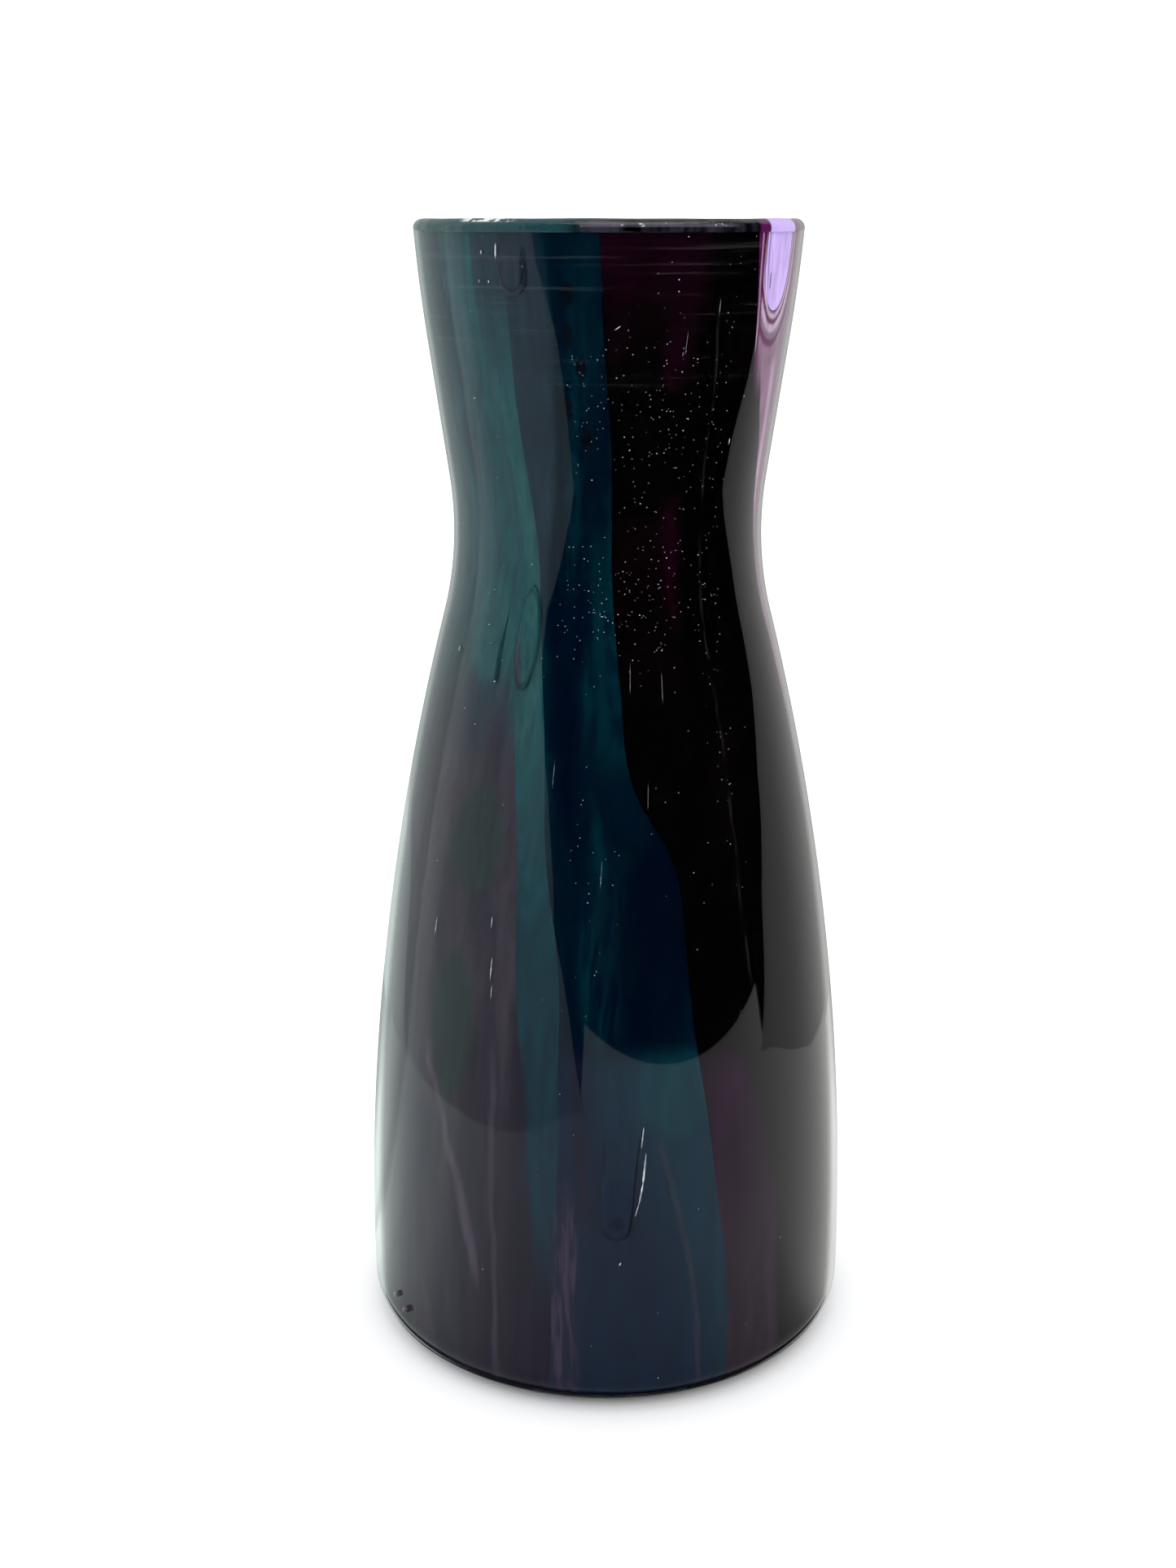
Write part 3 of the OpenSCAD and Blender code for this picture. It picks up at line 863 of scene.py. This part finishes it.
def front_edge_shade(n, azimuth, height):
    """A dark line of painted shade round the tip of the front drip and up its right side, and the dark disc
    in its tip.
    """
    line = [(42, 4.6), (45, 5.4), (48.5, 6.0), (57.6, 7.0), (65, 8.1)]
    right = n.stripe(line, 0.15, 0.5, 44.5, 64.0, 2.0)
    line = [(42, 0.2), (45, -0.6), (50, -1.0), (56, -1.7)]
    left = n.stripe(line, 0.1, 0.5, 45.0, 54.0, 3.0)
    across = n.times(n.add(azimuth, -2.5), 1.0 / 3.0)
    down = n.times(n.math("MINIMUM", n.add(height, -45.2), 0.0), 1.0 / 3.0)
    foot = n.times(n.step(n.length(across, down), 0.82, 0.92), n.fall(height, 44.0, 45.6))
    disc = n.patch(2.6, 46.0, 1.7, 1.7)
    strong = n.math("MAXIMUM", n.times(right, 0.75), n.times(foot, 0.45))
    return n.math("MAXIMUM", strong, n.math("MAXIMUM", n.times(left, 0.2), n.times(disc, 0.35)))


# How far a drip's sunk top and a seed's middle lie under the outside, in millimetres.
DRIP_ROOT, SEED_DEPTH = 0.9, 0.42
# A middling radius of the vase in millimetres, which makes a drip's foot round.
MIDDLE_R = 45.0


def drip(name, line, tip_half, top_half, proud, sharp, material, slot, closed=False):
    """A drip in low relief along a (height, azimuth) line, round at its foot and sinking in at its top.

    tip_half and top_half are its half widths in degrees, and sharp is how steeply its flanks rise. A closed
    one is as round at its top as at its foot."""
    rows, columns = 90, 36
    heights = np.array([p[0] for p in line], float)
    z = np.linspace(heights[0], heights[-1], rows)[:, None]
    along = (z - heights[0]) / (heights[-1] - heights[0])
    middle = np.interp(z, heights, [p[1] for p in line])
    wide = tip_half + (top_half - tip_half) * along
    round_end = math.radians(wide.min()) * MIDDLE_R / (heights[-1] - heights[0])
    tip = np.sqrt(np.clip(1 - (1 - np.minimum(along / round_end, 1)) ** 2, 0.0005, 1))
    across = np.sin(np.linspace(-math.pi / 2, math.pi / 2, columns))[None, :]
    if closed:
        tip = np.sqrt(np.clip(1 - (2 * along - 1) ** 2, 0.0005, 1))
        sink = 1.0
    else:
        ease = np.clip((along - 0.15) / 0.85, 0, 1)
        sink = 1 - ease * ease * (3 - 2 * ease)
    az = middle + wide * tip * across
    rows_z = np.broadcast_to(z, az.shape)
    swell = (proud * tip * (1 - np.abs(across) ** sharp) + DRIP_ROOT) * sink - DRIP_ROOT
    lift = wobble(az, rows_z)
    verts, faces = slab(on_wall(az, rows_z, lift + swell), on_wall(az, rows_z, lift - 1.0))
    add_piece(name, verts, faces, material, slot, name)


drip("neck_drip", [(235.5, -28), (240, -28), (248, -29)], 3.9, 4.6, 0.22, 4.0,
     pour_material("neck_drip_glass", paint_neck, neck_edge_shade), "slate_glass")
drip("loop_drip", [(157, -27.8), (178, -26.8)], 4.1, 4.1, 0.1, 3.0,
     pour_material("loop_drip_glass", paint_loop, loop_edge_shade), "green_glass", closed=True)
drip("front_drip", [(42, 2.5), (47, 2.5), (56, 2.9), (74, 4.6)], 3.3, 4.6, 0.3, 6.0,
     pour_material("front_drip_glass", paint_navy, front_edge_shade), "navy_glass")
drip("thread_run", [(158, -38), (165, -38), (178, -36)], 0.5, 0.35, 0.2, 2.0,
     pour_material("thread_run_glass", paint_slate), "green_glass")


# -------------------- heel crusts
def crusts():
    rng = random.Random(7)
    made = bmesh.new()
    for az, z, size in ((-60.0, 12.0, 0.7), (-55.0, 10.5, 0.85)):
        ball = bmesh.ops.create_icosphere(made, subdivisions=3, radius=size * MM)["verts"]
        centre = on_wall(az, z, -0.35)
        for v in ball:
            v.co *= 1 + rng.uniform(-0.12, 0.12)
            v.co.x, v.co.y, v.co.z = (c + d for c, d in zip(v.co, centre))
    mesh = bpy.data.meshes.new("heel_crusts")
    made.to_mesh(mesh)
    made.free()
    verts = [tuple(v.co) for v in mesh.vertices]
    return verts, [tuple(p.vertices) for p in mesh.polygons]


add_piece("heel_crusts", *crusts(), pour_material("crust_glass", paint_crust), "slate_glass",
          "heel_crusts")


# -------------------- air seeds
# Clouds of small seeds, as (azimuth, height, spread in degrees, spread in mm, how many).
SEED_CLOUDS = ((15, 216, 17, 18, 130), (11, 175, 17, 12, 110), (22, 192, 14, 20, 60), (-9, 212, 7, 20, 30),
               (-8, 174, 11, 14, 50), (38, 200, 6, 36, 60), (36, 145, 3, 28, 26), (-4, 118, 9, 28, 30),
               (22, 128, 11, 30, 20), (-40, 175, 16, 50, 22), (-5, 45, 38, 26, 12))
# Long seeds, as (azimuth and height of the foot, azimuth and height of the top, half width in mm). Their
# places were picked by eye in the photograph, and a scratch script turned many into azimuth and height.
# Their pale colour is painted highlight, and the long seeds up the front drip's right flank stand for that
# drip's highlight.
LONG_SEEDS = (
    (-33.2, 242.3, -32.8, 245.3, 0.2), (-24.8, 239.8, -24.5, 241.4, 0.16),
    (-30.2, 237.9, -30.1, 238.7, 0.17), (-28.5, 237.9, -28.4, 238.6, 0.17),
    (-26.3, 238.2, -26.2, 239.0, 0.17), (-28.0, 239.2, -27.9, 240.2, 0.17),
    (-38.2, 243.2, -38.1, 243.9, 0.16), (-39.8, 237.8, -39.8, 238.4, 0.14),
    (-36.2, 237.8, -36.2, 238.3, 0.14), (6.5, 47.2, 7.5, 50.5, 0.16), (7.4, 49.9, 8.4, 55.0, 0.24),
    (8.2, 53.6, 9.1, 61.6, 0.26), (8.0, 62.6, 8.6, 67.4, 0.17), (3.0, 36.0, 3.4, 36.7, 0.2),
    (-38.2, 157.8, -37.8, 158.3, 0.25), (-29.4, 96.5, -29.2, 101.5, 0.13),
    (-30.1, 107.6, -30.0, 110.2, 0.13), (-48.9, 102.5, -48.7, 106.5, 0.09), (-28.9, 92.5, -28.8, 95.6, 0.06),
    (7.0, 157.0, 7.3, 163.5, 0.025), (17.1, 155.0, 17.3, 161.5, 0.035), (11.2, 134.0, 11.5, 139.5, 0.025),
    (23.4, 224.0, 23.9, 229.0, 0.025), (1.8, 229.2, 3.6, 230.0, 0.1), (-58.5, 162.0, -58.4, 163.0, 0.18),
    (-15.3, 138.0, -14.9, 144.0, 0.025), (44.0, 206.0, 44.2, 207.2, 0.14), (33.9, 232.0, 34.0, 235.0, 0.04),
    (-1.6, 118.0, -1.2, 124.0, 0.03))


def seed_glint_material():
    n = Nodes("air_seed")
    # Painted highlight: real bubbles in the glass, made pale with a speckle for the light that they mirror.
    glint = n.noise(n.here(), 900.0, 1.0, 0.5)
    colour = n.ramp(glint, 0.35, 0.65, (0.2, 0.22, 0.26), SEED_GLINT)
    return n.finish(n.principled(Base_Color=colour, Roughness=0.25, IOR=1.5))


def seeds():
    rng = random.Random(11)
    made = bmesh.new()
    bmesh.ops.create_icosphere(made, subdivisions=1, radius=1.0)
    ball = np.array([v.co for v in made.verts])
    ball_faces = [[v.index for v in f.verts] for f in made.faces]
    made.free()
    runs = list(LONG_SEEDS)
    for azimuth, height, wide, tall, count in SEED_CLOUDS:
        for _ in range(count):
            az = azimuth + rng.gauss(0, 0.6) * wide
            z = min(max(height + rng.gauss(0, 0.6) * tall, 8.0), 246.5)
            size = 0.08 + 0.075 * rng.random() ** 2
            runs.append((az, z - size / 2, az, z + size / 2 + 0.3 * size * rng.random(), size))
    verts, faces = [], []
    for az, z, top_az, top_z, half in runs:
        foot, top = on_wall(az, z, -SEED_DEPTH), on_wall(top_az, top_z, -SEED_DEPTH)
        up = (top - foot) / np.linalg.norm(top - foot)
        turn = math.radians(az)
        out = np.array([math.sin(turn), -math.cos(turn), 0.0])
        side = np.cross(up, out)
        side /= np.linalg.norm(side)
        out = np.cross(side, up)
        length = np.linalg.norm(top - foot) / 2 + half * 0.3 * MM
        start = len(verts)
        flat = min(half, 0.16) * MM
        for x, y, h in ball:
            verts.append((foot + top) / 2 + side * x * half * MM + out * y * flat + up * h * length)
        faces += [tuple(start + i for i in face) for face in ball_faces]
    return verts, faces


add_piece("air_seeds", *seeds(), seed_glint_material(), "clear_glass")


# -------------------- floor, light and what the glass reflects
def stage_piece(name, verts, faces, material, seen_by_camera=False):
    mesh = bpy.data.meshes.new(name)
    mesh.from_pydata([tuple(v) for v in verts], [], faces)
    mesh.update()
    piece = bpy.data.objects.new(name, mesh)
    piece.data.materials.append(material)
    bpy.context.scene.collection.objects.link(piece)
    for ray in ("camera", "diffuse", "transmission", "volume_scatter", "shadow"):
        setattr(piece, "visible_" + ray, seen_by_camera)
    piece.visible_glossy = not seen_by_camera


def floor_material():
    n = Nodes("pale_floor")
    soft = n.noise(n.here(), 3.0, 2.0, 0.5)
    colour = n.mix(soft, (0.86, 0.87, 0.88), (0.9, 0.9, 0.91))
    return n.finish(n.principled(Base_Color=colour, Roughness=0.9))


def glow_material(name, levels, near=None, above=False):
    """A surface that only reflections see.

    levels are (azimuth, brightness) points and near are (radius, share) ones: near dims the glow close to the
    vase, less at the sides, as a painted shadow of the vase. above makes its foot half as bright again, up to
    a height that goes with the azimuth."""
    n = Nodes(name)
    here, azimuth, height = n.place()
    level = n.curve(azimuth, levels)
    # Painted shadow: the floor glow is dimmed close to the vase, less so at the sides.
    if near:
        length = n.make("ShaderNodeVectorMath", operation="LENGTH")
        n.put(length.inputs[0], here)
        share = n.curve(n.times(length.outputs["Value"], 1 / MM), near)
        side = n.curve(azimuth, [(-180, 0.1), (-150, 0.1), (-125, 0.45), (-105, 0.7), (-60, 0.0), (60, 0.0),
                                 (90, 1.0), (115, 0.9), (135, 0.4), (155, 0.1), (180, 0.1)])
        level = n.times(level, n.math("MULTIPLY_ADD", n.math("SUBTRACT", 1.0, share), side, share))
    if above:
        edge = n.curve(azimuth, [(-180, 70), (-150, 74), (-128, 68), (-114, 22), (-104, 0), (180, 0)])
        foot = n.step(n.math("SUBTRACT", height, edge), -6.0, 6.0, 1.5, 1.0)
        level = n.times(level, foot)
    glow = n.make("ShaderNodeEmission")
    tint = n.ramp(azimuth, -80.0, 40.0, (0.88, 1.0, 0.965), (1.0, 1.0, 0.985))
    n.put(glow.inputs["Color"], tint)
    n.put(glow.inputs["Strength"], level)
    return n.finish(glow.outputs[0])


def black_material():
    n = Nodes("dark_room")
    glow = n.make("ShaderNodeEmission")
    glow.inputs["Strength"].default_value = 0.0
    return n.finish(glow.outputs[0])


def level_card(reach, z):
    """A level square that reaches so many metres each way."""
    return [(-reach, -reach, z), (reach, -reach, z), (reach, reach, z), (-reach, reach, z)], [(0, 1, 2, 3)]


stage_piece("floor", *level_card(30.0, 0.0), floor_material(), seen_by_camera=True)

# A white tent stands round the vase, open towards the viewer's right: the glass mirrors its floor, its wall
# and the dark room through the opening. The edges are (height, azimuth) points, the radius (azimuth, radius).
# A scratch script traced many of them back from places picked by eye on the photograph's reflections.
TENT_H, ROOM_R = 1500.0, 900.0
TENT_RADIUS = [(-180, 228), (-90, 235), (-59, 236), (-43, 242), (-29, 260), (-15, 300), (75, 325), (82, 318),
               (95, 275), (112, 238), (131, 228), (180, 228)]
OPENING_LEFT = [(0, -9), (23, -13), (56, -17), (100, -24.5), (120, -26), (157, -31), (182, -36), (200, -41),
                (300, -46), (1500, -50)]
OPENING_RIGHT = [(0, 76), (36, 81), (76, 84), (115, 91), (132, 93), (163, 101), (190, 103), (300, 108),
                 (1500, 110)]
OPENING_AZ, FLOOR_EDGE = 37.0, 400.0


def cylinder_points(azimuth, z, radius):
    turn = np.radians(azimuth)
    return np.stack([radius * np.sin(turn), -radius * np.cos(turn), z + 0 * turn], -1) * MM


def tent_radius(azimuth):
    return np.interp((azimuth + 180.0) % 360.0 - 180.0, *np.array(TENT_RADIUS, float).T)


def tent_wall():
    z = np.concatenate([np.linspace(0, 300, 31), [600, TENT_H]])[:, None]
    start = np.interp(z, *np.array(OPENING_RIGHT, float).T)
    end = np.interp(z, *np.array(OPENING_LEFT, float).T) + 360.0
    az = start + (end - start) * np.linspace(0, 1, 161)[None, :]
    points = cylinder_points(az, np.broadcast_to(z, az.shape), tent_radius(az))
    return points.reshape(-1, 3), grid_faces(*az.shape)


def upright(radius, az_low, az_high, z_low, z_high):
    """An upright card at a radius, bent round the vase."""
    az = np.linspace(az_low, az_high, 81)[None, :] + np.zeros((2, 1))
    z = np.array([[z_low], [z_high]]) + 0 * az
    return cylinder_points(az, z, radius).reshape(-1, 3), grid_faces(2, 81)


def tent_floor():
    """The floor as reflections see it: out to the tent's wall, and in the opening to a straight edge."""
    az = np.linspace(-180, 180, 361)[None, :] + np.zeros((40, 1))
    share = np.linspace(0, 1, 40)[:, None]
    inside = (az > -11) & (az < 78)
    edge = np.minimum(FLOOR_EDGE / np.maximum(np.cos(np.radians(az - OPENING_AZ)), 0.3), 600.0)
    radius = 40.0 + (np.where(inside, edge, tent_radius(az)) - 40.0) * share
    return cylinder_points(az, 0.0, radius).reshape(-1, 3), grid_faces(40, 361)


stage_piece("tent_wall", *tent_wall(), glow_material("tent_glow", [
    (-180, 0.5), (-165, 0.5), (-150, 0.54), (-140, 0.58), (-128, 0.67), (-112, 0.68), (-108, 0.65),
    (-105, 1.0), (-97, 0.96), (-88, 0.71), (-70, 0.53), (-30, 0.37), (30, 0.31), (80, 0.5), (86, 0.53),
    (100, 0.54), (112, 0.62), (125, 0.65), (140, 0.6), (152, 0.54), (165, 0.48), (180, 0.5)], above=True))
stage_piece("tent_floor", *tent_floor(), glow_material("floor_glow", [
    (-180, 0.45), (-165, 0.42), (-148, 0.5), (-138, 0.68), (-131, 1.0), (-122, 1.22), (-115, 1.18),
    (-109, 1.0), (-105, 1.32), (-98, 1.28), (-90, 1.12), (-77, 1.0), (-64, 0.85), (-51, 0.68), (-38, 0.57),
    (-20, 0.49), (0, 0.43), (30, 0.42), (51, 0.49), (64, 0.6), (77, 0.8), (90, 0.87), (102, 0.92),
    (115, 0.98), (127, 1.02), (134, 0.92), (140, 0.76), (150, 0.5), (165, 0.42), (180, 0.45)],
    [(40, 0.4), (60, 0.52), (72, 0.68), (90, 0.8), (130, 0.95), (160, 1.0), (600, 1.0)]))
stage_piece("room_wall", *upright(ROOM_R, -75, 135, -5, TENT_H), black_material())
stage_piece("room_shelf", *upright(380.0, -14, 8, 36, 95), black_material())
stage_piece("room_floor", *level_card(3.0, -MM), black_material())

world = bpy.data.worlds.new("studio")
world.use_nodes = True
sky = world.node_tree.nodes["Background"].inputs
sky["Color"].default_value = (1.0, 1.0, 1.0, 1.0)
sky["Strength"].default_value = 1.7
bpy.context.scene.world = world
bpy.context.scene.view_settings.view_transform = "Standard"
